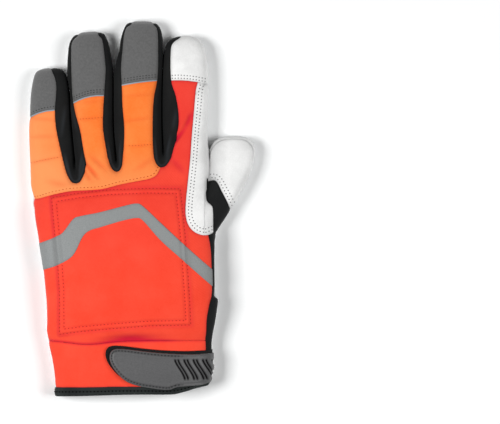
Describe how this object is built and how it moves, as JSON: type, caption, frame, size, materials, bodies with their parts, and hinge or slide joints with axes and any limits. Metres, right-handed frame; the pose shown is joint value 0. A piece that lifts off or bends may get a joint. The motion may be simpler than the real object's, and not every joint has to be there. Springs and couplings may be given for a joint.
{
  "type": "chainsaw glove",
  "caption": "Left-hand chainsaw glove lying palm down: padded red back, orange knuckles, white leather palm and thumb, reflective stripe and wrist strap.",
  "frame": {"origin": "on the face that the palm rests on, in the middle of the knuckles' width and near the middle of the glove's length", "axes": "+Z out of the back of the hand, +Y towards the fingertips, +X towards the thumb side"},
  "size_m": [0.1581, 0.2628, 0.0304],
  "materials": {
    "white_leather": "soft grained goatskin",
    "grey_suede": "napped suede",
    "orange_stretch_cloth": "fine knitted stretch cloth",
    "red_stretch_cloth": "fine knitted stretch cloth",
    "black_stretch_cloth": "fine knitted stretch cloth",
    "reflective_band": "satin glass-bead film",
    "moulded_rubber": "satin, with raised edges and ribs"
  },
  "bodies": {
    "root": {"palm_leather": "white_leather", "thumb_leather": "white_leather", "thumb_gusset": "black_stretch_cloth", "gusset_pinky_ring": "black_stretch_cloth", "gusset_ring_middle": "black_stretch_cloth", "gusset_middle_index": "black_stretch_cloth", "cap_pinky": "grey_suede", "cap_ring": "grey_suede", "cap_middle": "grey_suede", "cap_index": "white_leather", "index_side_leather": "white_leather", "knuckle_panel": "orange_stretch_cloth", "side_vent": "black_stretch_cloth", "cuff_panel": "red_stretch_cloth", "back_panel": "red_stretch_cloth", "hem_binding": "black_stretch_cloth", "reflective_stripe": "reflective_band", "strap_backing": "black_stretch_cloth", "strap_tab": "moulded_rubber"}
  },
  "joints": []
}
